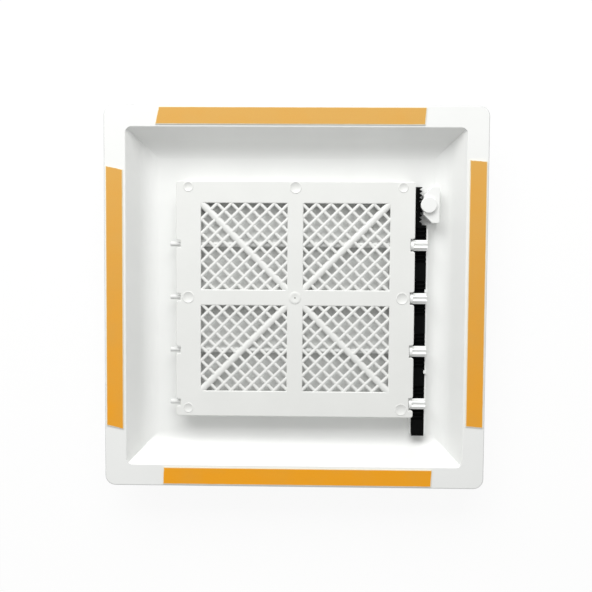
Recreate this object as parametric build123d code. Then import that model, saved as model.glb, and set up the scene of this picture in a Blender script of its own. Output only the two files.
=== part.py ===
from build123d import *
import math
import os

# Ceiling air diffuser, seen with its ceiling side up. Millimetres.
# Z = 0 is the ceiling plane, the top of the tape liners, and the dish bulges to -Z, into the room.
# X runs across the vanes' length, and the gear side is at +X.

# tape and flange
foam_thickness = 1.0
liner_thickness = 0.2
tape_width = 15.8
tape_centre = 168.0                    # from the middle of the diffuser to the middle of each strip
outer_size = 355.6                     # square flange, 14 in
outer_corner = 9.5
flange_width = 20.0
flange_edge_round = 1.1
wall = 2.5                             # moulded wall of the pan
flange_top = -(foam_thickness + liner_thickness)

# dish
recess_size = outer_size - 2 * flange_width
recess_corner = 7.0
recess_edge_round = 1.0
floor_size = 285.0
dish_depth = 26.0
lip_above = 10.0                       # how far the hollow's cutter stands over the flange
floor_blend = 19.0                     # soft bend between slope and floor
floor_top = flange_top - dish_depth
floor_bottom = floor_top - wall
slope_rise = math.atan2(dish_depth, (recess_size - floor_size) / 2)
lip_reach = recess_edge_round * math.tan(slope_rise / 2)   # the rounded lip's width outside the recess

# grille plate that closes the collar
plate_thickness = 2.5
plate_rise = 17.5                      # plate top over the dish floor
plate_top = floor_top + plate_rise
plate_bottom = plate_top - plate_thickness
plate_half_x = 112.0
plate_high_y = 109.2
plate_low_y = -112.8
plate_corner = 2.5
cross_bar = 15.0
window_size = 81.0
lattice_pitch = 9.5                    # across the bars
lattice_bar = 2.6
rib_to_bar = 10.5                      # first bar each side of a rib
cross_bar_shift = -1.0                 # the crossing bars sit this far towards the plate's middle
bars_each_way = 5
lattice_thickness = 1.7
lattice_bite = 0.5                     # the bars run this far into the window's frame
lattice_drop = 0.6                     # lattice top under the plate top
rib_width = 6.8
rib_radius = 3.6
notch_depth = 4.0
pin_notch_width = 6.4
pinion_notch_width = 11.4
notch_round = 2.0
gate_radius = 5.75
gate_height = 0.5
gate_dimple = 3.6
peg_radius = 1.5
peg_length = 6.0

# collar, the short duct that holds the vanes
collar_wall = 3.0
collar_inner_x = 105.0
collar_high_y = 103.8
collar_low_y = -104.8
boss_radius = 2.8
boss_offset = 1.5                      # boss centre outside the collar's inner face
boss_x = 100.5
mouth_round = 1.0                      # room-side edge of the duct

# vanes
vane_pitch = 50.0
vane_count = 4
first_pivot_y = 50.0
pivot_y = [first_pivot_y - vane_pitch * i for i in range(vane_count)]
vane_tilt = 6.0                        # the closed blade slopes this far down to its free edge
vane_length = 207.0
vane_reach = 51.5                      # pivot to free edge
vane_root_thickness = 2.2
vane_edge_thickness = 1.4
hinge_tube_radius = 2.75
hinge_tube_half = 104.6
journal_radius = 2.25
journal_clearance = 0.08
left_pin_end = -118.0
pin_chamfer = 0.4
tube_clearance = 0.25
axis_z = plate_bottom - hinge_tube_radius - tube_clearance
keeper_half_width = 2.0                # keeper pads under the plate close each bearing slot
keeper_gap = 0.1
spindle_radius = 1.8
spindle_flat = 1.2                     # axis to the flat of the D-shaped spindle
spindle_clearance = 0.05

# gear train, all of one module
module = 1.2
pressure_angle = math.radians(25)
backlash = 0.2
tooth_pitch = math.pi * module
pinion_teeth = 7
pinion_pitch_radius = module * pinion_teeth / 2
pinion_tip_radius = 5.2
pinion_root_radius = 3.2
pinion_start = 108.3
pinion_flange = 2.6
pinion_flange_radius = 4.8
pinion_end = 123.8
rack_top_addendum = 0.74
rack_top_dedendum = 1.25
control_teeth = 10
control_pitch_radius = module * control_teeth / 2
control_tip_radius = 6.9
control_root_radius = 4.7
rack_side_addendum = 0.9
rack_side_dedendum = 1.2

# rack
rack_left = 111.9
rack_right = 123.5
rack_high_y = 105.0
rack_low_y = -131.5
rack_bottom = floor_top + 2.1
rack_pitch_z = axis_z - pinion_pitch_radius
rack_root_z = rack_pitch_z - rack_top_dedendum
rack_smooth_z = rack_pitch_z + rack_top_addendum
rack_groups = 9                        # teeth in each group under a pinion
rack_bevel = 5.0                       # underside of the low end, clears the slope
rack_lip = 1.2                         # small raised lip across the low end
rack_lip_height = 0.5
side_teeth_low_y = 69.1

# control gear and its housing, at the gear side's upper corner
control_x = 124.2
control_y = 87.7
rack_side_pitch_x = control_x - control_pitch_radius
gear_bottom = floor_top + 2.6
gear_top = gear_bottom + 7.0
bracket_left = 119.9
bracket_right = 134.5
bracket_low_y = 71.0
bracket_high_y = 104.7
bracket_chamfer = 7.8
bracket_corner_round = 0.8
bracket_top_round = 0.5
bracket_gear_gap = 0.4
bracket_top = floor_top + 16.0
bracket_cavity_radius = 7.4
bracket_peg_x = 130.9
bracket_peg_inset = 4.2
relief_start = 130.4
relief_height = 0.8
upper_journal_radius = 3.0
lower_journal_radius = 3.5
bush_radius = 4.9
bush_height = 2.3
cap_radius = 7.4
cap_thickness = 2.8
cap_gap = 0.3
cap_edge_round = 0.6
cap_socket_radius = 1.8
cap_socket_depth = 1.6
socket_end_gap = 0.1
knob_radius = 13.0
knob_height = 11.0
knob_gap = 0.5
knob_skirt = 3.0
knob_grip_width = 6.0
knob_socket_depth = 8.0
knob_edge_round = 1.0
knob_grip_inset = 0.8
knob_grip_round = 2.2
knob_hub_wall = 2.2
control_spindle_radius = 3.0
control_spindle_flat = 2.0

# rack guides on the floor
rail_height = 2.0
rail_width = 1.5
rail_inset = 1.6
guide_width = 1.5
guide_gap = 0.35
left_guide_top = axis_z - 6.0
right_guide_top = axis_z - 4.5
guide_high_y = 66.0
guide_low_y = -130.0
hook_y = [7.0, -70.0]
hook_length = 3.0
hook_reach = 1.0
hook_thickness = 1.4
hook_clearance = 0.2

# tape strips: side, start and end along the side, and how far the inner corner of each end runs past
# the outer corner where the tape was cut askew
tape_strips = {
    "top": (-126.5, 119.9, -3.2, -1.2),
    "bottom": (-123.0, 128.6, 0.4, 0.8),
    "left": (-120.6, 121.6, -3.4, -3.3),
    "right": (-119.7, 127.0, 1.2, 1.4),
}


def block(x0, x1, y0, y1, z0, z1):
    return Pos((x0 + x1) / 2, (y0 + y1) / 2, (z0 + z1) / 2) * Box(x1 - x0, y1 - y0, z1 - z0)


def post(x, y, z0, z1, radius):
    return Pos(x, y, (z0 + z1) / 2) * Cylinder(radius, z1 - z0)


def rod(y, z, x0, x1, radius):
    return Pos((x0 + x1) / 2, y, z) * Rot(0, 90, 0) * Cylinder(radius, x1 - x0)


def column(size, corner, z0, z1):
    return Pos(0, 0, z0) * extrude(RectangleRounded(size, size, corner), z1 - z0)


def dish_profile():
    # the hollow's section: rounded lip, slope, soft bend, floor
    half_recess = recess_size / 2
    half_floor = floor_size / 2
    edge = half_recess + 3 * lip_reach
    lid_height = flange_top + lip_above
    line = FilletPolyline(
        (-edge, flange_top),
        (-half_recess, flange_top),
        (-half_floor, floor_top),
        (half_floor, floor_top),
        (half_recess, flange_top),
        (edge, flange_top),
        radius=[recess_edge_round, floor_blend, floor_blend, recess_edge_round],
    )
    lid = Polyline((edge, flange_top), (edge, lid_height), (-edge, lid_height), (-edge, flange_top))
    return make_face(line + lid)


def skin_profile():
    # the outer skin's section: the hollow's slope and floor moved out by the wall
    shift = wall * math.tan(slope_rise / 2)
    half_floor = floor_size / 2 + shift
    half_top = half_floor + (recess_size - floor_size) / 2
    line = FilletPolyline(
        (-half_top, floor_bottom + dish_depth),
        (-half_floor, floor_bottom),
        (half_floor, floor_bottom),
        (half_top, floor_bottom + dish_depth),
        radius=floor_blend + wall,
    )
    return make_face(line + Line(line @ 1, line @ 0))


def crossed(profile, length):
    # the same section run along X and along Y, kept where both are: mitred corners
    along_y = extrude(Plane.XZ * profile, length, both=True)
    along_x = extrude(Plane.YZ * profile, length, both=True)
    return along_y & along_x


def build_dish():
    void = crossed(dish_profile(), outer_size) & column(
        recess_size + 2 * lip_reach, recess_corner + lip_reach, floor_top - 1, flange_top + 1
    )
    skin = crossed(skin_profile(), outer_size)
    flange = column(outer_size, outer_corner, flange_top - wall, flange_top)
    flange = fillet(flange.edges().filter_by(Plane.XY), flange_edge_round)
    return flange + skin - void


def slot_cut(y, x0, x1):
    radius = journal_radius + journal_clearance
    return rod(y, axis_z, x0, x1, radius) + block(x0, x1, y - radius, y + radius, axis_z, plate_bottom + 1)


def boss_places():
    high = collar_high_y + boss_offset
    low = collar_low_y - boss_offset
    return [(x, y) for y in (high, low) for x in (-boss_x, 0, boss_x)]


def build_collar():
    x_out = collar_inner_x + collar_wall
    y_high = collar_high_y + collar_wall
    y_low = collar_low_y - collar_wall
    ring = block(-x_out, x_out, y_low, y_high, floor_bottom, plate_bottom)
    for x, y in boss_places():
        ring += post(x, y, floor_top - 1, plate_bottom, boss_radius)
    return ring


def collar_cuts():
    duct = block(
        -collar_inner_x, collar_inner_x, collar_low_y, collar_high_y, floor_bottom - 1, plate_bottom + 1
    )
    x_out = collar_inner_x + collar_wall
    for y in pivot_y:
        duct += slot_cut(y, collar_inner_x - 1, x_out + 1)
        duct += slot_cut(y, -x_out - 1, -collar_inner_x + 1)
    return duct


def build_guides():
    rail_top = floor_top + rail_height
    left_rail = rack_left + rail_inset
    right_rail = rack_right - rail_inset - rail_width
    solids = block(left_rail, left_rail + rail_width, guide_low_y, rack_high_y - 2, floor_top - 1, rail_top)
    solids += block(right_rail, right_rail + rail_width, guide_low_y, guide_high_y, floor_top - 1, rail_top)
    left = rack_left - guide_gap
    right = rack_right + guide_gap
    solids += block(left - guide_width, left, guide_low_y, rack_high_y - 2, floor_top - 1, left_guide_top)
    solids += block(right, right + guide_width, guide_low_y, guide_high_y, floor_top - 1, right_guide_top)
    hook_bottom = rack_smooth_z + hook_clearance
    hook_top = hook_bottom + hook_thickness
    for y in hook_y:
        y0 = y - hook_length / 2
        y1 = y + hook_length / 2
        solids += block(right, right + guide_width, y0, y1, floor_top - 1, hook_top)
        solids += block(rack_right - hook_reach, right + guide_width, y0, y1, hook_bottom, hook_top)
    return solids


def bracket_pegs():
    return [
        (bracket_peg_x, bracket_low_y + bracket_peg_inset),
        (bracket_peg_x, bracket_high_y - bracket_peg_inset),
    ]


def on_duct_mouth(edge):
    middle = edge.center()
    inside_collar = abs(middle.X) < collar_inner_x + 0.1 and abs(middle.Y) < -collar_low_y + 0.1
    return inside_collar and abs(middle.Z - floor_bottom) < 0.01


def pan_shell():
    body = build_dish() + build_collar() + build_guides()
    body += post(control_x, control_y, floor_top - 1, floor_top + bush_height, bush_radius)
    body -= collar_cuts()
    body = fillet([e for e in body.edges().filter_by(Plane.XY) if on_duct_mouth(e)], mouth_round)
    body -= post(
        control_x, control_y, floor_bottom - 1, floor_top + bush_height + 1,
        lower_journal_radius + journal_clearance,
    )
    for x, y in boss_places():
        body -= post(x, y, plate_bottom - peg_length - 1, plate_bottom + 1, peg_radius + spindle_clearance)
    for x, y in bracket_pegs():
        body -= post(x, y, floor_bottom - 1, floor_top + 1, peg_radius + spindle_clearance)
    return body


def notched_outline():
    # the plate's outline with a notch at each end of every vane
    outline = Pos(0, (plate_high_y + plate_low_y) / 2) * RectangleRounded(
        2 * plate_half_x, plate_high_y - plate_low_y, plate_corner
    )
    edge = plate_half_x
    for y in pivot_y:
        outline -= Pos(-edge, y) * Rectangle(2 * notch_depth, pin_notch_width)
        outline -= Pos(edge, y) * Rectangle(2 * notch_depth, pinion_notch_width)
    mouths = [v for v in outline.vertices() if abs(abs(v.X) - edge) < 0.01 and near_pivot(v.Y)]
    return fillet(mouths, notch_round)


def near_pivot(y):
    return any(abs(y - pivot) < pinion_notch_width / 2 + 0.1 for pivot in pivot_y)


def window_centres():
    middle = (cross_bar + window_size) / 2
    return [(sx * middle, sy * middle) for sx in (-1, 1) for sy in (-1, 1)]


def lattice_offsets():
    # bars beside the rib, then bars across it, as distances from the window's middle
    beside = [rib_to_bar + lattice_pitch * k for k in range(bars_each_way)]
    across = [cross_bar_shift + lattice_pitch * k for k in range(-bars_each_way, bars_each_way + 1)]
    return [-d for d in beside] + beside, across


def build_lattice():
    # drawn with the rib along X, then cut to the window's square, which lies at 45 degrees to it
    length = 2 * window_size
    beside, across = lattice_offsets()
    net = Pos(0, beside[0]) * Rectangle(length, lattice_bar)
    for distance in beside[1:]:
        net += Pos(0, distance) * Rectangle(length, lattice_bar)
    for distance in across:
        net += Pos(distance, 0) * Rectangle(lattice_bar, length)
    square = window_size + 2 * lattice_bite
    net &= Rot(0, 0, 45) * Rectangle(square, square)
    return Pos(0, 0, plate_top - lattice_drop - lattice_thickness) * extrude(net, lattice_thickness)


def build_rib():
    # half-round rib along X
    length = window_size * math.sqrt(2)
    bar = rod(0, plate_top - rib_radius, -length / 2, length / 2, rib_radius)
    depth = rib_radius - math.sqrt(rib_radius**2 - (rib_width / 2) ** 2)
    return bar & block(-length, length, -rib_width, rib_width, plate_top - depth, plate_top)


def back_grille():
    plate = Pos(0, 0, plate_bottom) * extrude(notched_outline(), plate_thickness)
    opening = Box(window_size, window_size, 4 * plate_thickness)
    lattice = build_lattice()
    rib = build_rib()
    half = window_size / 2
    window = block(-half, half, -half, half, plate_bottom, plate_top)
    for x, y in window_centres():
        plate -= Pos(x, y, plate_top) * opening
    for x, y in window_centres():
        outwards = math.degrees(math.atan2(y, x))
        plate += Pos(x, y, 0) * (Rot(0, 0, outwards) * lattice + (Rot(0, 0, outwards) * rib & window))
    plate += post(0, 0, plate_top - 1, plate_top + gate_height, gate_radius)
    plate -= Pos(0, 0, plate_top + gate_height + gate_dimple / 2) * Sphere(gate_dimple)
    for x, y in boss_places():
        plate += post(x, y, plate_bottom - peg_length, plate_bottom + 1, peg_radius)
    keeper_bottom = axis_z + journal_radius + keeper_gap
    for y in pivot_y:
        for x in (-collar_inner_x - collar_wall, collar_inner_x):
            plate += block(
                x, x + collar_wall, y - keeper_half_width, y + keeper_half_width,
                keeper_bottom, plate_bottom + 1,
            )
    return plate


def vane(y):
    # blade profile in the YZ plane, thick at the hinge and rounded at its free edge
    root = vane_root_thickness / 2
    edge = vane_edge_thickness / 2
    tip = vane_reach - edge
    outline = Polyline((0, -root), (tip, -edge))
    outline += ThreePointArc((tip, -edge), (vane_reach, 0), (tip, edge))
    outline += Polyline((tip, edge), (0, root), (0, -root))
    blade = extrude(Plane.YZ * make_face(outline), vane_length / 2, both=True)
    part = Rot(-vane_tilt, 0, 0) * blade
    part += rod(0, 0, -hinge_tube_half, hinge_tube_half, hinge_tube_radius)
    part += rod(0, 0, left_pin_end, pinion_start, journal_radius)
    part += d_spindle(pinion_start - 1, pinion_end)
    part = Pos(0, y, axis_z) * part
    pin_face = part.faces().sort_by(Axis.X)[0]
    return chamfer(pin_face.edges(), pin_chamfer)


def d_spindle(x0, x1):
    flat = block(x0, x1, -spindle_radius, spindle_radius, -spindle_radius, spindle_flat)
    return rod(0, 0, x0, x1, spindle_radius) & flat


def involute(angle):
    return math.tan(angle) - angle


def gear_face(teeth, tip_radius, root_radius):
    # involute flanks as arcs through three points of the true curve, straight below the base circle
    pitch_radius = module * teeth / 2
    base_radius = pitch_radius * math.cos(pressure_angle)
    start = max(base_radius, root_radius)
    pitch_half_angle = (tooth_pitch / 2 - backlash / 2) / (2 * pitch_radius)

    def flank(radius, side, middle):
        spread = pitch_half_angle + involute(pressure_angle) - involute(math.acos(base_radius / radius))
        angle = middle + side * spread
        return (radius * math.cos(angle), radius * math.sin(angle))

    def at(radius, angle):
        return (radius * math.cos(angle), radius * math.sin(angle))

    outline = []
    step = 2 * math.pi / teeth
    root_half_angle = pitch_half_angle + involute(pressure_angle) - involute(
        math.acos(base_radius / start)
    )
    radii = [start, (start + tip_radius) / 2, tip_radius]
    for k in range(teeth):
        middle = k * step
        rise = [flank(r, -1, middle) for r in radii]
        fall = [flank(r, 1, middle) for r in reversed(radii)]
        foot = at(root_radius, middle - root_half_angle)
        heel = at(root_radius, middle + root_half_angle)
        next_foot = at(root_radius, middle + step - root_half_angle)
        if start > root_radius:
            outline.append(Line(foot, rise[0]))
        outline.append(ThreePointArc(*rise))
        outline.append(ThreePointArc(rise[-1], at(tip_radius, middle), fall[0]))
        outline.append(ThreePointArc(*fall))
        if start > root_radius:
            outline.append(Line(fall[-1], heel))
        outline.append(ThreePointArc(heel, at(root_radius, middle + step / 2), next_foot))
    return make_face(outline)


def vane_pinion(y):
    # a tooth points straight down at the rack when the vanes are closed
    length = pinion_end - pinion_start - pinion_flange
    teeth = extrude(gear_face(pinion_teeth, pinion_tip_radius, pinion_root_radius), length)
    teeth = Pos(pinion_start + pinion_flange, 0, 0) * Rot(0, 90, 0) * teeth
    collar = rod(0, 0, pinion_start, pinion_start + pinion_flange, pinion_flange_radius)
    bore_radius = spindle_radius + spindle_clearance
    bore = rod(0, 0, pinion_start - 1, pinion_end + 1, bore_radius) & block(
        pinion_start - 1, pinion_end + 1, -bore_radius, bore_radius,
        -bore_radius, spindle_flat + spindle_clearance,
    )
    return Pos(0, y, axis_z) * (teeth + collar - bore)


def rack_gaps(centre, first, last, addendum, dedendum):
    # spaces between rack teeth: (along, across) trapezoids, one centred on centre + k pitches
    wide = tooth_pitch / 4 + backlash / 4
    top = wide + addendum * math.tan(pressure_angle)
    low = wide - dedendum * math.tan(pressure_angle)
    gaps = []
    for k in range(first, last + 1):
        c = centre + k * tooth_pitch
        gaps.append([(c - top, addendum), (c - low, -dedendum), (c + low, -dedendum), (c + top, addendum)])
    return gaps


def drive_rack():
    body = block(rack_left, rack_right, rack_low_y, rack_high_y, rack_bottom, rack_smooth_z)
    body += block(
        rack_left, rack_right, rack_low_y, rack_low_y + rack_lip,
        rack_bottom, rack_smooth_z + rack_lip_height,
    )
    reach = rack_groups // 2
    for y in pivot_y:
        for gap in rack_gaps(y, -reach, reach, rack_top_addendum + 0.01, rack_top_dedendum):
            shape = Polygon(*[(a, rack_pitch_z + b) for a, b in gap], align=None)
            body -= Pos(rack_left - 1, 0, 0) * extrude(Plane.YZ * shape, rack_right - rack_left + 2)
    tip_x = rack_side_pitch_x + rack_side_addendum
    body -= block(
        tip_x, rack_right + 1, side_teeth_low_y, rack_high_y + 1, rack_bottom - 1, rack_smooth_z + 1
    )
    lowest = math.ceil((side_teeth_low_y - control_y) / tooth_pitch)
    highest = math.floor((rack_high_y - control_y) / tooth_pitch)
    for gap in rack_gaps(control_y, lowest, highest, rack_side_addendum + 0.01, rack_side_dedendum):
        shape = Polygon(*[(rack_side_pitch_x + b, a) for a, b in gap], align=None)
        body -= Pos(0, 0, rack_bottom) * extrude(shape, 2 * (rack_smooth_z - rack_bottom), both=True)
    ramp = Polygon(
        (rack_low_y - 1, rack_bottom - 1),
        (rack_low_y + rack_bevel, rack_bottom - 1),
        (rack_low_y + rack_bevel, rack_bottom),
        (rack_low_y, rack_bottom + rack_bevel),
        (rack_low_y - 1, rack_bottom + rack_bevel),
        align=None,
    )
    body -= Pos(rack_left - 1, 0, 0) * extrude(Plane.YZ * ramp, rack_right - rack_left + 2)
    return body


def control_gear():
    # a tooth points at the rack, towards -X, when the vanes are closed
    teeth = extrude(gear_face(control_teeth, control_tip_radius, control_root_radius), gear_top - gear_bottom)
    gear = Pos(control_x, control_y, gear_bottom) * Rot(0, 0, 180) * teeth
    gear += post(control_x, control_y, gear_top - 1, bracket_top + cap_gap, upper_journal_radius)
    cap_peg_top = bracket_top + cap_gap + cap_socket_depth - socket_end_gap
    gear += post(control_x, control_y, bracket_top, cap_peg_top, cap_socket_radius)
    gear += post(control_x, control_y, floor_bottom - knob_gap, gear_bottom + 1, lower_journal_radius)
    spindle_end = floor_bottom - knob_gap - knob_socket_depth + 2 * socket_end_gap
    spindle = post(control_x, control_y, spindle_end, floor_bottom, control_spindle_radius)
    flat_x = control_x + control_spindle_flat
    gear += spindle & block(
        control_x - 2 * control_spindle_radius, flat_x, control_y - knob_radius, control_y + knob_radius,
        spindle_end, floor_bottom,
    )
    return gear


def shaft_cap():
    bottom = bracket_top + cap_gap
    cap = post(control_x, control_y, bottom, bottom + cap_thickness, cap_radius)
    cap = fillet(cap.edges().group_by(Axis.Z)[-1], cap_edge_round)
    return cap - post(
        control_x, control_y, bottom - 1, bottom + cap_socket_depth, cap_socket_radius + spindle_clearance
    )


def control_knob():
    top = floor_bottom - knob_gap
    low = top - knob_height
    knob = post(control_x, control_y, top - knob_skirt, top, knob_radius)
    knob = fillet(knob.edges().group_by(Axis.Z)[0], knob_edge_round)
    grip_half = knob_radius - knob_grip_inset
    grip = block(
        control_x - knob_grip_width / 2, control_x + knob_grip_width / 2,
        control_y - grip_half, control_y + grip_half, low, top - 1,
    )
    grip = fillet(grip.edges().filter_by(Axis.Z), knob_grip_round)
    grip = fillet(grip.edges().group_by(Axis.Z)[0], knob_edge_round)
    hub_radius = control_spindle_radius + knob_hub_wall
    knob += grip + post(control_x, control_y, low + knob_edge_round, top, hub_radius)
    radius = control_spindle_radius + spindle_clearance
    socket = post(control_x, control_y, top - knob_socket_depth, top + 1, radius)
    flat_x = control_x + control_spindle_flat + spindle_clearance
    socket &= block(
        control_x - 2 * radius, flat_x, control_y - knob_radius, control_y + knob_radius,
        top - knob_socket_depth, top + 1,
    )
    return knob - socket


def gear_bracket():
    outline = Polygon(
        (bracket_left, bracket_low_y + bracket_chamfer),
        (bracket_left + bracket_chamfer, bracket_low_y),
        (bracket_right, bracket_low_y),
        (bracket_right, bracket_high_y),
        (bracket_left + bracket_chamfer, bracket_high_y),
        (bracket_left, bracket_high_y - bracket_chamfer),
        align=None,
    )
    body = Pos(0, 0, floor_top) * extrude(outline, bracket_top - floor_top)
    body = fillet(body.edges().filter_by(Axis.Z), bracket_corner_round)
    body = fillet(body.edges().group_by(Axis.Z)[-1], bracket_top_round)
    body -= post(control_x, control_y, floor_top - 1, gear_top + bracket_gear_gap, bracket_cavity_radius)
    body -= post(
        control_x, control_y, gear_top, bracket_top + 1, upper_journal_radius + journal_clearance
    )
    body -= bend_relief()
    for x, y in bracket_pegs():
        body += post(x, y, floor_bottom, floor_top + relief_height + 1, peg_radius)
    return body


def bend_relief():
    # wedge under the bracket's outer side, where the floor starts to bend up
    wedge = Polygon(
        (relief_start, floor_top - 1),
        (bracket_right + 1, floor_top - 1),
        (bracket_right + 1, floor_top + relief_height),
        (relief_start, floor_top),
        align=None,
    )
    return extrude(Plane.XZ * wedge, 2 * bracket_high_y, both=True)


def tape_strip(name, z, thickness):
    start, end, start_skew, end_skew = tape_strips[name]
    half = tape_width / 2
    # drawn for the top side, then turned to its own side, where two of them run the other way
    side_angle = {"top": 0, "left": 90, "bottom": 180, "right": 270}[name]
    if name in ("bottom", "right"):
        start, end, start_skew, end_skew = -end, -start, -end_skew, -start_skew
    shape = Polygon(
        (start, tape_centre + half),
        (start + start_skew, tape_centre - half),
        (end + end_skew, tape_centre - half),
        (end, tape_centre + half),
        align=None,
    )
    return Rot(0, 0, side_angle) * Pos(0, 0, z) * extrude(shape, thickness)


def save(name, shape):
    export_step(shape, f"parts/{name}.step")
    print(f"{name:22s} {shape.volume:12.1f} mm3  {len(shape.solids())} solid")


def main():
    os.makedirs("parts", exist_ok=True)
    save("pan_shell", pan_shell())
    save("back_grille", back_grille())
    for number, y in enumerate(pivot_y, start=1):
        save(f"vane_{number}", vane(y))
        save(f"vane_pinion_{number}", vane_pinion(y))
    save("drive_rack", drive_rack())
    save("control_gear", control_gear())
    save("gear_bracket", gear_bracket())
    save("shaft_cap", shaft_cap())
    save("control_knob", control_knob())
    for side in tape_strips:
        save(f"foam_tape_{side}", tape_strip(side, flange_top, foam_thickness))
        save(f"release_liner_{side}", tape_strip(side, -liner_thickness, liner_thickness))


main()
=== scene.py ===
import bpy
import bmesh
import math
from mathutils import Matrix, Vector, noise


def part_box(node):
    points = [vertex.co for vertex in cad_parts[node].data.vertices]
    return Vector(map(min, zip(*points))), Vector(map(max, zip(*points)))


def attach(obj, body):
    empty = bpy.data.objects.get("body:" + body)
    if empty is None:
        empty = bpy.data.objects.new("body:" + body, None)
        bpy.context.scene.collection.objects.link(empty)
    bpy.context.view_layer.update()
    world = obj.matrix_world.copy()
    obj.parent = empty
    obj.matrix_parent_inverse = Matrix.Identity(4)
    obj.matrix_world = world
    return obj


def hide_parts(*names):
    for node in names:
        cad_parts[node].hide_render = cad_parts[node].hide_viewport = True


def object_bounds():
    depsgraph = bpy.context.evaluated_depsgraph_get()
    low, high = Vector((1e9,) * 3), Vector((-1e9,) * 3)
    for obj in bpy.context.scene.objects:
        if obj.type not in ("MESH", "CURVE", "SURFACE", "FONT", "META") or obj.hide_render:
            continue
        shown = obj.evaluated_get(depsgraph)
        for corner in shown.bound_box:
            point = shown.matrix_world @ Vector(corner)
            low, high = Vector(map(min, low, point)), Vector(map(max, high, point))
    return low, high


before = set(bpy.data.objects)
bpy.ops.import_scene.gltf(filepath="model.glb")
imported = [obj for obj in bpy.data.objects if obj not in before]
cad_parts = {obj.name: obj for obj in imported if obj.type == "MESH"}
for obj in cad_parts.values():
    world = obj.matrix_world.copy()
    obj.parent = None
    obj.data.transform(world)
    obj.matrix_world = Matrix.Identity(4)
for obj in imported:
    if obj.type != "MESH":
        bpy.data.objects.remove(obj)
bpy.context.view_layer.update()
mm = 0.001
perMetre = 1000

# Housing, plate and vanes are white ABS, the gear train is acetal, the tape is foam under a kraft liner.


def srgb(code):
    # sRGB hex to the linear colour that Blender wants
    values = [int(code[i:i + 2], 16) / 255 for i in (1, 3, 5)]
    return [v / 12.92 if v <= 0.04045 else ((v + 0.055) / 1.055) ** 2.4 for v in values] + [1.0]


def addNode(tree, kind, settings=None, values=None, links=None):
    # one node with its settings, socket values and incoming links
    node = tree.nodes.new(kind)
    for name, value in (settings or {}).items():
        setattr(node, name, value)
    shown = {socket.name: socket for socket in reversed(node.inputs) if socket.enabled}
    for name, value in (values or {}).items():
        (node.inputs[name] if isinstance(name, int) else shown[name]).default_value = value
    for name, source in (links or {}).items():
        tree.links.new(source, node.inputs[name] if isinstance(name, int) else shown[name])
    return node


def result(node):
    # the first output that the node's settings leave on
    return next(socket for socket in node.outputs if socket.enabled)


def newMaterial(name):
    material = bpy.data.materials.new(name)
    material.use_nodes = True
    material.node_tree.nodes.clear()
    return material, material.node_tree


def linkPiece(name, mesh, material=None):
    piece = bpy.data.objects.new(name, mesh)
    bpy.context.scene.collection.objects.link(piece)
    if material is not None:
        mesh.materials.clear()
        mesh.materials.append(material)
    return piece


def meshFrom(name, builder):
    mesh = bpy.data.meshes.new(name)
    bm = bmesh.new()
    builder(bm)
    bm.to_mesh(mesh)
    bm.free()
    return mesh


def smooth(mesh, degrees):
    mesh.shade_smooth()
    mesh.set_sharp_from_angle(angle=math.radians(degrees))


def bake(piece):
    # the evaluated piece as a plain mesh, its modifiers gone
    graph = bpy.context.evaluated_depsgraph_get()
    mesh = bpy.data.meshes.new_from_object(piece.evaluated_get(graph))
    old = piece.data
    piece.modifiers.clear()
    if piece.type == "CURVE":
        name = piece.name
        bpy.data.objects.remove(piece)
        mesh.name = name
        return linkPiece(name, mesh)
    piece.data = mesh
    if isinstance(old, bpy.types.Mesh):
        bpy.data.meshes.remove(old)
    mesh.name = piece.name
    return piece


moulding = {"mottleDetail": 3.0, "mottleRoughness": 0.55, "tintFrom": 0.3, "tintTo": 0.7,
            "grainDetail": 2.0, "glossSwing": 0.05, "specular": 0.5}


def mouldedPlastic(name, look):
    # injection-moulded plastic: even colour, a faint flow mottle, fine tool texture, satin sheen
    material, tree = newMaterial(name)
    place = addNode(tree, "ShaderNodeTexCoord")
    mottle = addNode(tree, "ShaderNodeTexNoise", values={
        "Scale": perMetre / look["mottleSize"], "Detail": moulding["mottleDetail"],
        "Roughness": moulding["mottleRoughness"]}, links={"Vector": place.outputs["Object"]})
    tint = addNode(tree, "ShaderNodeValToRGB", links={"Fac": mottle.outputs["Fac"]})
    tint.color_ramp.elements[0].position = moulding["tintFrom"]
    tint.color_ramp.elements[0].color = srgb(look["shade"])
    tint.color_ramp.elements[1].position = moulding["tintTo"]
    tint.color_ramp.elements[1].color = srgb(look["colour"])
    grain = addNode(tree, "ShaderNodeTexNoise", values={
        "Scale": perMetre / look["grainSize"], "Detail": moulding["grainDetail"]},
        links={"Vector": place.outputs["Object"]})
    gloss = addNode(tree, "ShaderNodeMapRange", values={
        "To Min": look["roughness"] - moulding["glossSwing"],
        "To Max": look["roughness"] + moulding["glossSwing"]}, links={"Value": mottle.outputs["Fac"]})
    bump = addNode(tree, "ShaderNodeBump", values={"Strength": look["grainStrength"],
                   "Distance": look["grainDepth"] * mm}, links={"Height": grain.outputs["Fac"]})
    colour = tint.outputs["Color"]
    # painted shade round the flange's outer edge
    if "paintedEdgeShade" in look:
        colour = paintedEdgeShade(tree, place, colour, look["paintedEdgeShade"])
    shader = addNode(tree, "ShaderNodeBsdfPrincipled", values={
        "IOR": look["ior"], "Specular IOR Level": look.get("specular", moulding["specular"])}, links={
        "Base Color": colour, "Roughness": gloss.outputs["Result"], "Normal": bump.outputs["Normal"]})
    addNode(tree, "ShaderNodeOutputMaterial", links={"Surface": shader.outputs["BSDF"]})
    return material


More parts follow.
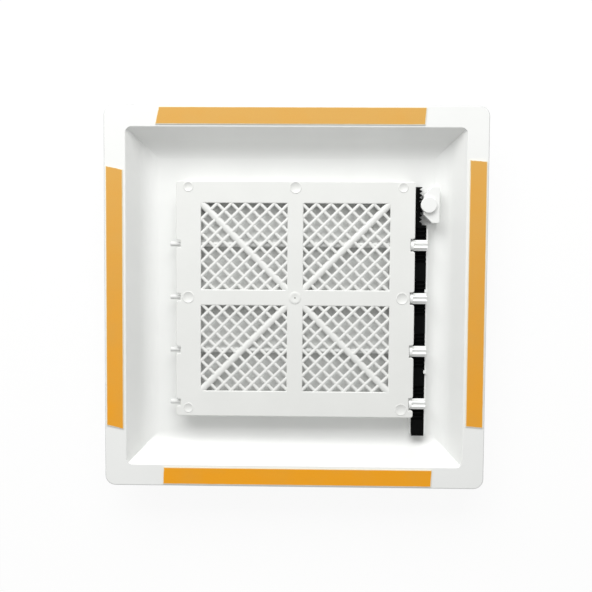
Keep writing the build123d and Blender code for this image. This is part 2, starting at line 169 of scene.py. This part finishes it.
def paintedEdgeShade(tree, place, colour, line):
    # painted shade: a dull grey band round the flange's outer edge, standing in for that edge in shade
    away = addNode(tree, "ShaderNodeVectorMath", {"operation": "ABSOLUTE"}, links={0: place.outputs["Object"]})
    inner = (line["half"] - line["corner"]) * mm
    past = addNode(tree, "ShaderNodeVectorMath", {"operation": "SUBTRACT"}, {1: (inner, inner, 0)},
                   {0: away.outputs["Vector"]})
    outside = addNode(tree, "ShaderNodeVectorMath", {"operation": "MAXIMUM"}, {1: (0, 0, 0)},
                      {0: past.outputs["Vector"]})
    flat = addNode(tree, "ShaderNodeVectorMath", {"operation": "MULTIPLY"}, {1: (1, 1, 0)},
                   {0: outside.outputs["Vector"]})
    reach = addNode(tree, "ShaderNodeVectorMath", {"operation": "LENGTH"}, links={0: flat.outputs["Vector"]})
    mask = addNode(tree, "ShaderNodeMapRange", values={
        "From Min": (line["corner"] - line["width"]) * mm, "From Max": line["corner"] * mm},
        links={"Value": reach.outputs["Value"]})
    mix = addNode(tree, "ShaderNodeMix", {"data_type": "RGBA"}, {"B": srgb(line["colour"])},
                  {"Factor": mask.outputs["Result"], "A": colour})
    return result(mix)


absLook = {
    "panAbsSatin": {"colour": "#e9eae8", "shade": "#e6e7e5", "mottleSize": 60, "grainSize": 0.7,
                    "grainDepth": 0.02, "grainStrength": 0.25, "roughness": 0.42, "ior": 1.53,
                    # the grey band below is painted shade on the flange's outer edge
                    "paintedEdgeShade": {"half": 177.8, "corner": 9.5, "width": 0.9, "colour": "#a9adac"}},
    "grilleAbsSatin": {"colour": "#e3e4e1", "shade": "#e0e1de", "mottleSize": 35, "grainSize": 0.6,
                       "grainDepth": 0.02, "grainStrength": 0.2, "roughness": 0.38, "ior": 1.53},
    # the vanes' white ABS is given a darker colour than the plate's: painted shade for the vanes lying behind
    # the lattice
    "vaneAbsPaintedShade": {"colour": "#dcdddb", "shade": "#d7d8d6", "mottleSize": 25, "grainSize": 0.6,
                     "grainDepth": 0.02, "grainStrength": 0.2, "roughness": 0.45, "ior": 1.53},
    "acetalWhite": {"colour": "#f6f7f5", "shade": "#f1f2f0", "mottleSize": 12, "grainSize": 0.4,
                    "grainDepth": 0.01, "grainStrength": 0.15, "roughness": 0.3, "ior": 1.48},
    "acetalBlack": {"colour": "#070808", "shade": "#040505", "mottleSize": 10, "grainSize": 0.4,
                    "grainDepth": 0.02, "grainStrength": 0.3, "roughness": 0.6, "ior": 1.48,
                    "specular": 0.05},
    "gateScar": {"colour": "#8f918d", "shade": "#7d7f7b", "mottleSize": 1, "grainSize": 0.2,
                 "grainDepth": 0.03, "grainStrength": 0.6, "roughness": 0.8, "ior": 1.53},
    "knobAbsGloss": {"colour": "#f0f1ee", "shade": "#edeeeb", "mottleSize": 20, "grainSize": 0.5,
                     "grainDepth": 0.01, "grainStrength": 0.15, "roughness": 0.28, "ior": 1.53},
}
plastics = {name: mouldedPlastic(name, look) for name, look in absLook.items()}


def kraftLiner(look):
    # waxed kraft release paper: long fibres, a painted sheen that makes it paler at the upper end of the
    # diffuser, a dull wax sheen
    material, tree = newMaterial("kraftLinerWaxed")
    place = addNode(tree, "ShaderNodeTexCoord")
    height = addNode(tree, "ShaderNodeSeparateXYZ", links={"Vector": place.outputs["Object"]})
    # painted sheen: the colour ramp follows height in Y, so the strips turn paler towards the lit upper end
    paintedSheenByHeight = addNode(tree, "ShaderNodeMapRange", values={
        "From Min": -look["halfSpan"] * mm, "From Max": look["halfSpan"] * mm},
        links={"Value": height.outputs["Y"]})
    cloud = addNode(tree, "ShaderNodeTexNoise", values={
        "Scale": perMetre / look["cloudSize"], "Detail": look["cloudDetail"]},
        links={"Vector": place.outputs["Object"]})
    shift = addNode(tree, "ShaderNodeMath", {"operation": "MULTIPLY_ADD"}, {1: look["cloudAmount"],
                    2: -look["cloudAmount"] / 2}, {0: cloud.outputs["Fac"]})
    total = addNode(tree, "ShaderNodeMath", {"operation": "ADD"}, links={0: paintedSheenByHeight.outputs["Result"],
                    1: shift.outputs["Value"]})
    ramp = addNode(tree, "ShaderNodeValToRGB", links={"Fac": total.outputs["Value"]})
    ramp.color_ramp.elements[0].color = srgb(look["low"])
    ramp.color_ramp.elements[1].color = srgb(look["high"])
    middle = ramp.color_ramp.elements.new(0.5)
    middle.color = srgb(look["middle"])
    fibre = addNode(tree, "ShaderNodeTexNoise", values={
        "Scale": perMetre / look["fibreSize"], "Detail": look["fibreDetail"],
        "Roughness": look["fibreRoughness"]}, links={"Vector": place.outputs["Object"]})
    speck = addNode(tree, "ShaderNodeMix", {"data_type": "RGBA", "blend_type": "MULTIPLY"},
                    {"Factor": look["fibreAmount"]}, {"A": ramp.outputs["Color"], "B": fibre.outputs["Color"]})
    bump = addNode(tree, "ShaderNodeBump", values={
        "Strength": look["fibreStrength"], "Distance": look["fibreDepth"] * mm},
        links={"Height": fibre.outputs["Fac"]})
    shader = addNode(tree, "ShaderNodeBsdfPrincipled", values={
        "Roughness": look["roughness"], "Specular IOR Level": look["specular"]}, links={
        "Base Color": result(speck), "Normal": bump.outputs["Normal"]})
    addNode(tree, "ShaderNodeOutputMaterial", links={"Surface": shader.outputs["BSDF"]})
    return material


# the low-to-high ramp is painted sheen along Y: paler at the upper end where the light falls, more orange
# below
linerLook = {
    "high": "#d9a755", "middle": "#dfa241", "low": "#f0a21a", "halfSpan": 170,
    "cloudSize": 30, "cloudAmount": 0.5, "cloudDetail": 4.0,
    "fibreSize": 1.1, "fibreAmount": 0.12, "fibreDetail": 5.0, "fibreRoughness": 0.65,
    "fibreDepth": 0.05, "fibreStrength": 0.25, "roughness": 0.62, "specular": 0.25,
}
kraft = kraftLiner(linerLook)


def closedCellFoam(look):
    # cream foam under the liner: matte, with cut cells showing on its edge
    material, tree = newMaterial("closedCellFoam")
    place = addNode(tree, "ShaderNodeTexCoord")
    cells = addNode(tree, "ShaderNodeTexVoronoi", values={"Scale": perMetre / look["cellSize"]},
                    links={"Vector": place.outputs["Object"]})
    ramp = addNode(tree, "ShaderNodeValToRGB", links={"Fac": cells.outputs["Distance"]})
    ramp.color_ramp.elements[0].color = srgb(look["hollow"])
    ramp.color_ramp.elements[1].color = srgb(look["wall"])
    bump = addNode(tree, "ShaderNodeBump", values={
        "Strength": look["cellStrength"], "Distance": look["cellDepth"] * mm},
        links={"Height": cells.outputs["Distance"]})
    shader = addNode(tree, "ShaderNodeBsdfPrincipled", values={"Roughness": look["roughness"]}, links={
        "Base Color": ramp.outputs["Color"], "Normal": bump.outputs["Normal"]})
    addNode(tree, "ShaderNodeOutputMaterial", links={"Surface": shader.outputs["BSDF"]})
    return material


foamLook = {"hollow": "#d9cfae", "wall": "#f0e8d0", "cellSize": 0.35, "cellDepth": 0.05,
            "cellStrength": 0.4, "roughness": 0.8}
foam = closedCellFoam(foamLook)


cameraLook = {
    "lens": 48.65, "sensor": 36, "tilt": 2.94, "pan": 1.07, "roll": 0.44,
    "right": 1.2, "up": 2.3, "distance": 742.3,
}


def makeCamera(look):
    data = bpy.data.cameras.new("productCamera")
    data.lens = look["lens"]
    data.sensor_width = look["sensor"]
    camera = bpy.data.objects.new("productCamera", data)
    bpy.context.scene.collection.objects.link(camera)
    turn = (Matrix.Rotation(math.radians(-look["tilt"]), 3, "X")
            @ Matrix.Rotation(math.radians(look["pan"]), 3, "Y")
            @ Matrix.Rotation(math.radians(look["roll"]), 3, "Z"))
    offset = Vector((look["right"], look["up"], look["distance"])) * mm
    camera.matrix_world = Matrix.Translation(turn @ offset) @ turn.to_4x4()
    bpy.context.scene.camera = camera


makeCamera(cameraLook)
print("camera ready")


plateLow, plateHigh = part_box("back_grille")
grille = {
    "thickness": 2.5, "top": -9.7, "edgeRound": 0.9, "corner": 2.5,
    "notchDepth": 4.0, "pinNotch": 6.4, "pinionNotch": 11.4, "notchRound": 2.0,
    "crossBar": 15.0, "window": 81.0, "windowRound": 0.8,
    "barWidth": 3.0, "barHeight": 1.8, "barPitch": 9.5, "ribToBar": 10.5, "crossShift": -1.0,
    "barsEachWay": 5, "upperDrop": 0.25, "lowerDrop": 0.45,
    "ribWidth": 6.8, "ribHeight": 2.45, "ribOverrun": 1.0, "ribSteps": 16,
    "barSides": 12, "bevelSteps": 3, "plateSharp": 40, "ribSharp": 50,
    "pivots": [50, 0, -50, -100],
}


def arcPoints(cx, cy, radius, start, end, steps=6):
    return [(cx + radius * math.cos(math.radians(start + (end - start) * i / steps)),
             cy + radius * math.sin(math.radians(start + (end - start) * i / steps)))
            for i in range(steps + 1)]


def plateOutline():
    # anticlockwise from the low right corner, in millimetres
    right = plateHigh.x / mm
    left = plateLow.x / mm
    high = plateHigh.y / mm
    low = plateLow.y / mm
    corner = grille["corner"]
    soft = grille["notchRound"]
    depth = grille["notchDepth"]
    points = arcPoints(right - corner, low + corner, corner, -90, 0)
    half = grille["pinionNotch"] / 2
    for y in sorted(grille["pivots"]):
        points += arcPoints(right - soft, y - half - soft, soft, 0, 90)
        points += [(right - depth, y - half), (right - depth, y + half)]
        points += arcPoints(right - soft, y + half + soft, soft, -90, 0)
    points += arcPoints(right - corner, high - corner, corner, 0, 90)
    points += arcPoints(left + corner, high - corner, corner, 90, 180)
    half = grille["pinNotch"] / 2
    for y in sorted(grille["pivots"], reverse=True):
        points += arcPoints(left + soft, y + half + soft, soft, 180, 270)
        points += [(left + depth, y + half), (left + depth, y - half)]
        points += arcPoints(left + soft, y - half - soft, soft, 90, 180)
    points += arcPoints(left + corner, low + corner, corner, 180, 270)
    return points


def windowCentres():
    middle = (grille["crossBar"] + grille["window"]) / 2
    return [(sx * middle, sy * middle) for sx in (-1, 1) for sy in (-1, 1)]


def windowOutline(cx, cy):
    half = grille["window"] / 2
    soft = grille["windowRound"]
    points = []
    for quarter, (sx, sy) in enumerate(((1, 1), (-1, 1), (-1, -1), (1, -1))):
        start = 90 * quarter
        points += arcPoints(cx + sx * (half - soft), cy + sy * (half - soft), soft, start, start + 90, 3)
    return points


def makePlate():
    # a filled flat curve with round-bevelled edges, then made a mesh
    data = bpy.data.curves.new("grillePlate", "CURVE")
    data.dimensions = "2D"
    data.fill_mode = "BOTH"
    inset = grille["edgeRound"]
    data.extrude = (grille["thickness"] / 2 - inset) * mm
    data.bevel_depth = inset * mm
    data.offset = -inset * mm
    data.bevel_resolution = grille["bevelSteps"]
    for outline in [plateOutline()] + [windowOutline(x, y) for x, y in windowCentres()]:
        spline = data.splines.new("POLY")
        spline.points.add(len(outline) - 1)
        for point, (x, y) in zip(spline.points, outline):
            point.co = (x * mm, y * mm, 0, 1)
        spline.use_cyclic_u = True
    piece = bpy.data.objects.new("grillePlate", data)
    bpy.context.scene.collection.objects.link(piece)
    piece = bake(piece)
    piece.data.transform(Matrix.Translation((0, 0, (grille["top"] - grille["thickness"] / 2) * mm)))
    piece.data.materials.append(plastics["grilleAbsSatin"])
    smooth(piece.data, grille["plateSharp"])
    return piece


def latticeTree():
    # one window's rounded bars, drawn with the rib along X, each as long as its chord of the square window
    tree = bpy.data.node_groups.new("windowLattice", "GeometryNodeTree")
    tree.is_modifier = True
    tree.interface.new_socket("Geometry", in_out="OUTPUT", socket_type="NodeSocketGeometry")
    kinds = {"Bars Each Way": "NodeSocketInt", "Centre": "NodeSocketVector", "Material": "NodeSocketMaterial"}
    sockets = {}
    for label in ("Window", "Pitch", "Bar Width", "Bar Height", "Rib To Bar", "Cross Shift", "Turn",
                  "Beside Z", "Across Z", "Bars Each Way", "Centre", "Material"):
        kind = kinds.get(label, "NodeSocketFloat")
        sockets[label] = tree.interface.new_socket(label, in_out="INPUT", socket_type=kind).identifier
    given = addNode(tree, "NodeGroupInput").outputs

    def sums(operation, a, b):
        numbers = {k: v for k, v in ((0, a), (1, b)) if isinstance(v, (int, float))}
        linked = {k: v for k, v in ((0, a), (1, b)) if k not in numbers}
        return result(addNode(tree, "ShaderNodeMath", {"operation": operation}, numbers, linked))

    profile = addNode(tree, "GeometryNodeCurvePrimitiveCircle", {"mode": "RADIUS"},
                      {"Resolution": grille["barSides"], "Radius": 0.5})
    sectionSize = addNode(tree, "ShaderNodeCombineXYZ", values={"Z": 1.0}, links={
        "X": given["Bar Width"], "Y": given["Bar Height"]})
    section = addNode(tree, "GeometryNodeTransform", links={
        "Geometry": result(profile), "Scale": result(sectionSize)})
    stick = addNode(tree, "GeometryNodeCurvePrimitiveLine", values={"Start": (-0.5, 0, 0), "End": (0.5, 0, 0)})
    bar = addNode(tree, "GeometryNodeCurveToMesh", values={"Fill Caps": True}, links={
        "Curve": result(stick), "Profile Curve": result(section)})

    def family(start, count):
        # bars along X at even steps in Y
        first = addNode(tree, "ShaderNodeCombineXYZ", links={"Y": start})
        step = addNode(tree, "ShaderNodeCombineXYZ", links={"Y": given["Pitch"]})
        line = addNode(tree, "GeometryNodeMeshLine", {"mode": "OFFSET"}, links={
            "Count": count, "Start Location": result(first), "Offset": result(step)})
        where = addNode(tree, "ShaderNodeSeparateXYZ", links={
            "Vector": result(addNode(tree, "GeometryNodeInputPosition"))})
        chord = sums("SUBTRACT", sums("MULTIPLY", given["Window"], math.sqrt(2)),
                     sums("MULTIPLY", sums("ABSOLUTE", where.outputs["Y"], 0), 2))
        stretch = addNode(tree, "ShaderNodeCombineXYZ", values={"Y": 1.0, "Z": 1.0}, links={
            "X": sums("ADD", chord, given["Bar Width"])})
        return result(addNode(tree, "GeometryNodeInstanceOnPoints", links={
            "Points": result(line), "Instance": result(bar), "Scale": result(stretch)}))

    def placed(geometry, angle, level):
        lifted = addNode(tree, "ShaderNodeCombineXYZ", links={"Z": level})
        return result(addNode(tree, "GeometryNodeTransform", values={"Rotation": (0, 0, angle)}, links={
            "Geometry": geometry, "Translation": result(lifted)}))

    beside = family(given["Rib To Bar"], given["Bars Each Way"])
    back = sums("SUBTRACT", given["Cross Shift"], sums("MULTIPLY", given["Pitch"], given["Bars Each Way"]))
    across = family(back, sums("ADD", sums("MULTIPLY", given["Bars Each Way"], 2), 1))
    layers = addNode(tree, "GeometryNodeJoinGeometry")
    for geometry in (placed(beside, 0, given["Beside Z"]), placed(beside, math.pi, given["Beside Z"]),
                     placed(across, -math.pi / 2, given["Across Z"])):
        tree.links.new(geometry, layers.inputs["Geometry"])
    heading = addNode(tree, "ShaderNodeCombineXYZ", links={"Z": given["Turn"]})
    window = addNode(tree, "GeometryNodeTransform", links={
        "Geometry": result(layers), "Rotation": result(heading), "Translation": given["Centre"]})
    real = addNode(tree, "GeometryNodeRealizeInstances", links={"Geometry": result(window)})
    soft = addNode(tree, "GeometryNodeSetShadeSmooth", links={"Geometry": result(real)})
    paint = addNode(tree, "GeometryNodeSetMaterial", links={
        "Geometry": result(soft), "Material": given["Material"]})
    addNode(tree, "NodeGroupOutput", links={"Geometry": result(paint)})
    return tree, sockets


def makeLattice(tree, sockets, name, cx, cy):
    piece = linkPiece(name, bpy.data.meshes.new(name))
    net = piece.modifiers.new("lattice", "NODES")
    net.node_group = tree
    middle = grille["top"] - grille["barHeight"] / 2
    levels = [(middle - grille[drop]) * mm for drop in ("lowerDrop", "upperDrop")]
    if cx * cy > 0:
        levels.reverse()  # the bars that lean the same way in every window are the upper ones
    sizes = {
        "Window": grille["window"] * mm, "Pitch": grille["barPitch"] * mm,
        "Bar Width": grille["barWidth"] * mm, "Bar Height": grille["barHeight"] * mm,
        "Rib To Bar": grille["ribToBar"] * mm, "Cross Shift": grille["crossShift"] * mm,
        "Turn": math.atan2(cy, cx), "Beside Z": levels[0], "Across Z": levels[1],
        "Bars Each Way": grille["barsEachWay"], "Centre": (cx * mm, cy * mm, 0),
        "Material": plastics["grilleAbsSatin"],
    }
    for label, value in sizes.items():
        net[sockets[label]] = value
    return bake(piece)


def makeRibs():
    # half-round ribs from each window's outer corner to the middle of the plate
    def build(bm):
        half = grille["ribWidth"] / 2
        tall = grille["ribHeight"]
        steps = grille["ribSteps"]
        for cx, cy in windowCentres():
            reach = grille["window"] / math.sqrt(2) + grille["ribOverrun"]
            along = Vector((cx, cy, 0)).normalized()
            across = Vector((-along.y, along.x, 0))
            rings = []
            for end in (-1, 1):
                ring = []
                for k in range(steps + 1):
                    angle = math.pi * k / steps
                    side = across * (half * math.cos(angle))
                    up = Vector((0, 0, tall * math.sin(angle)))
                    base = Vector((cx, cy, grille["top"] - tall)) + along * (end * reach)
                    ring.append(bm.verts.new((base + side + up) * mm))
                rings.append(ring)
            count = len(rings[0])
            for k in range(count):
                following = (k + 1) % count
                bm.faces.new((rings[0][k], rings[0][following], rings[1][following], rings[1][k]))
            bm.faces.new(rings[0])
            bm.faces.new(list(reversed(rings[1])))
        bmesh.ops.recalc_face_normals(bm, faces=bm.faces)
    mesh = meshFrom("grilleRibs", build)
    smooth(mesh, grille["ribSharp"])
    return linkPiece("grilleRibs", mesh, plastics["grilleAbsSatin"])


marks = {
    "gate": [(0, 0.1), (1.2, 0.12), (2.9, 0.38), (3.6, 0.52), (5.3, 0.5), (5.7, 0.3), (5.8, -0.3)],
    "pin": [(0, 0.02), (3.7, 0.02), (4.0, 0.3), (4.3, 0.36), (4.7, 0.2), (4.9, -0.3)],
    "bigPin": [(0, 0.02), (4.6, 0.02), (4.9, 0.3), (5.2, 0.36), (5.6, 0.2), (5.8, -0.3)],
    "pip": [(0, 0.3), (0.6, 0.26), (0.9, -0.1)],
    "places": {"gate": [(0, 0)], "pin": [(-100.5, 103.6), (100.5, 103.6), (-100.5, -105)],
               "bigPin": [(0, 103.2), (-100.5, 0), (100.5, 0), (100.5, -105)]},
    "steps": 40, "sharp": 50,
}


def turned(bm, cx, cy, profile):
    # a flat turned shape standing on the plate: (radius, height) from its middle outwards, closed below
    base = grille["top"]
    rings = []
    for radius, height in profile[1:]:
        ring = []
        for k in range(marks["steps"]):
            angle = 2 * math.pi * k / marks["steps"]
            ring.append(bm.verts.new(Vector((cx + radius * math.cos(angle), cy + radius * math.sin(angle),
                                             base + height)) * mm))
        rings.append(ring)
    top = bm.verts.new(Vector((cx, cy, base + profile[0][1])) * mm)
    for k in range(marks["steps"]):
        following = (k + 1) % marks["steps"]
        bm.faces.new((top, rings[0][k], rings[0][following]))
        for inner, outer in zip(rings, rings[1:]):
            bm.faces.new((inner[k], outer[k], outer[following], inner[following]))
    bm.faces.new(list(reversed(rings[-1])))


def makeMarks():
    # the gate where the plastic came in, and the witness rings of the ejector pins
    def build(bm):
        for kind, places in marks["places"].items():
            for x, y in places:
                turned(bm, x, y, marks[kind])
        bmesh.ops.recalc_face_normals(bm, faces=bm.faces)
    mesh = meshFrom("grilleMarks", build)
    smooth(mesh, marks["sharp"])
    return linkPiece("grilleMarks", mesh, plastics["grilleAbsSatin"])


def makePip():
    # the broken-off gate, a small dull dot
    def build(bm):
        turned(bm, 0, 0, marks["pip"])
    mesh = meshFrom("gatePip", build)
    smooth(mesh, marks["sharp"])
    return linkPiece("gatePip", mesh, plastics["gateScar"])


lattice = latticeTree()
windows = [makeLattice(*lattice, f"windowLattice{number}", cx, cy)
           for number, (cx, cy) in enumerate(windowCentres(), start=1)]
grillePieces = [makePlate(), makeRibs(), makeMarks(), makePip()] + windows
for piece in grillePieces:
    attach(piece, "housing")
    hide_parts("back_grille")
print("grille ready")


tape = {
    "centre": 168.0, "width": 15.8, "linerInset": 0.55, "thickness": 0.2, "along": 160, "across": 8,
    "edgeWander": 0.16, "edgeWave": 0.11, "edgeApart": 9, "endTear": 0.55, "tearWave": 4, "tearApart": 5,
    "ripple": 0.05, "rippleAlong": 0.05, "rippleAcross": 0.12, "rippleSeed": 7, "seed": 3.0, "seedStep": 10,
    "ends": {"top": (-126.5, 119.9, -3.2, -1.2), "bottom": (-123.0, 128.6, 0.4, 0.8),
             "left": (-120.6, 121.6, -3.4, -3.3), "right": (-119.7, 127.0, 1.2, 1.4)},
    "turn": {"top": 0, "left": 90, "bottom": 180, "right": 270},
}


def wander(x, y, seed):
    return noise.noise(Vector((x, y, seed)))


def makeLiner(side):
    # a strip cut by hand: wandering long edges, torn ends, a slight ripple, inside the foam's outline
    start, end, startSkew, endSkew = tape["ends"][side]
    if side in ("bottom", "right"):
        start, end, startSkew, endSkew = -end, -start, -endSkew, -startSkew
    seed = tape["seed"] + tape["turn"][side] / tape["seedStep"]
    inset = tape["linerInset"]
    half = tape["width"] / 2 - inset

    def build(bm):
        rows = []
        for j in range(tape["across"] + 1):
            v = j / tape["across"]
            tear = v * tape["tearWave"]
            first = start + startSkew * (1 - v) + inset + tape["endTear"] * wander(tear, 0, seed)
            last = end + endSkew * (1 - v) - inset + tape["endTear"] * wander(tear, tape["tearApart"], seed)
            row = []
            for i in range(tape["along"] + 1):
                u = i / tape["along"]
                x = first + (last - first) * u
                sway = wander(x * tape["edgeWave"], tape["edgeApart"] * v, seed)
                edge = sway * tape["edgeWander"] * abs(2 * v - 1)
                y = tape["centre"] - half + 2 * half * v + edge
                wave = wander(x * tape["rippleAlong"], y * tape["rippleAcross"], seed + tape["rippleSeed"])
                z = tape["ripple"] * (wave - 1)
                row.append(bm.verts.new(Vector((x, y, z)) * mm))
            rows.append(row)
        for low, high in zip(rows, rows[1:]):
            for i in range(tape["along"]):
                bm.faces.new((low[i], low[i + 1], high[i + 1], high[i]))
        turn = Matrix.Rotation(math.radians(tape["turn"][side]), 3, "Z")
        bmesh.ops.rotate(bm, verts=bm.verts, matrix=turn)
    piece = linkPiece(f"linerStrip_{side}", meshFrom(f"linerStrip_{side}", build), kraft)
    solid = piece.modifiers.new("thickness", "SOLIDIFY")
    solid.thickness = tape["thickness"] * mm
    solid.offset = -1
    piece = bake(piece)
    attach(piece, "housing")
    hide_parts(f"release_liner_{side}")


for side in tape["turn"]:
    makeLiner(side)
print("liners ready")


nodeFinish = {
    "pan_shell": "panAbsSatin", "gear_bracket": "panAbsSatin", "drive_rack": "acetalBlack",
    "control_gear": "acetalBlack", "shaft_cap": "panAbsSatin", "control_knob": "knobAbsGloss",
}
for number in range(1, 5):
    nodeFinish[f"vane_{number}"] = "vaneAbsPaintedShade"
    nodeFinish[f"vane_pinion_{number}"] = "acetalWhite"
for side in tape["turn"]:
    nodeFinish[f"foam_tape_{side}"] = "closedCellFoam"
finishes = {**plastics, "closedCellFoam": foam}
for name, finish in nodeFinish.items():
    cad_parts[name].data.materials.clear()
    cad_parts[name].data.materials.append(finishes[finish])
print("finishes ready")


stageLook = {"floorSize": 8.0, "ambient": 0.53, "shadowShare": 0.1, "floorColour": "#f7f7f6"}


def seenDirectly(tree):
    # 1 for camera, glossy and transmission rays
    path = addNode(tree, "ShaderNodeLightPath")
    first = addNode(tree, "ShaderNodeMath", {"operation": "MAXIMUM"}, links={
        0: path.outputs["Is Camera Ray"], 1: path.outputs["Is Glossy Ray"]})
    both = addNode(tree, "ShaderNodeMath", {"operation": "MAXIMUM"}, links={
        0: first.outputs["Value"], 1: path.outputs["Is Transmission Ray"]})
    return both.outputs["Value"]


def makeFloor():
    material, tree = newMaterial("studioFloor")
    plain = addNode(tree, "ShaderNodeBsdfDiffuse", values={"Color": srgb(stageLook["floorColour"])})
    white = addNode(tree, "ShaderNodeEmission", values={"Strength": 1.0})
    share = addNode(tree, "ShaderNodeMath", {"operation": "MULTIPLY"}, {1: 1 - stageLook["shadowShare"]},
                    {0: seenDirectly(tree)})
    mix = addNode(tree, "ShaderNodeMixShader", links={0: share.outputs["Value"], 1: plain.outputs["BSDF"],
                  2: white.outputs["Emission"]})
    addNode(tree, "ShaderNodeOutputMaterial", links={"Surface": mix.outputs["Shader"]})
    half = stageLook["floorSize"] / 2
    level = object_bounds()[0].z

    def build(bm):
        bm.faces.new([bm.verts.new((sx * half, sy * half, level))
                      for sx, sy in ((-1, -1), (1, -1), (1, 1), (-1, 1))])
    floor = linkPiece("studioFloor", meshFrom("studioFloor", build), material)


def makeWorld():
    world = bpy.data.worlds.new("studioWorld")
    bpy.context.scene.world = world
    world.use_nodes = True
    tree = world.node_tree
    tree.nodes.clear()
    ambient = addNode(tree, "ShaderNodeBackground", values={"Strength": stageLook["ambient"]})
    shown = addNode(tree, "ShaderNodeBackground", values={"Strength": 1.0})
    for node in (ambient, shown):
        node.inputs["Color"].default_value = (1, 1, 1, 1)
    mix = addNode(tree, "ShaderNodeMixShader", links={0: seenDirectly(tree), 1: ambient.outputs["Background"],
                  2: shown.outputs["Background"]})
    addNode(tree, "ShaderNodeOutputWorld", links={"Surface": mix.outputs["Shader"]})


def makeLight(name, place, size, power):
    data = bpy.data.lights.new(name, "AREA")
    data.shape = "RECTANGLE"
    data.size = size[0]
    data.size_y = size[1]
    data.energy = power
    light = bpy.data.objects.new(name, data)
    light.location = place
    light.rotation_euler = (-Vector(place)).to_track_quat("-Z", "Y").to_euler()
    bpy.context.scene.collection.objects.link(light)


keyWindow = {"place": (-0.22, 1.15, 0.9), "size": (1.6, 0.9), "power": 24.0}

makeFloor()
makeWorld()
makeLight("keyWindow", **keyWindow)
bpy.context.scene.view_settings.view_transform = "Standard"
print("lights ready")
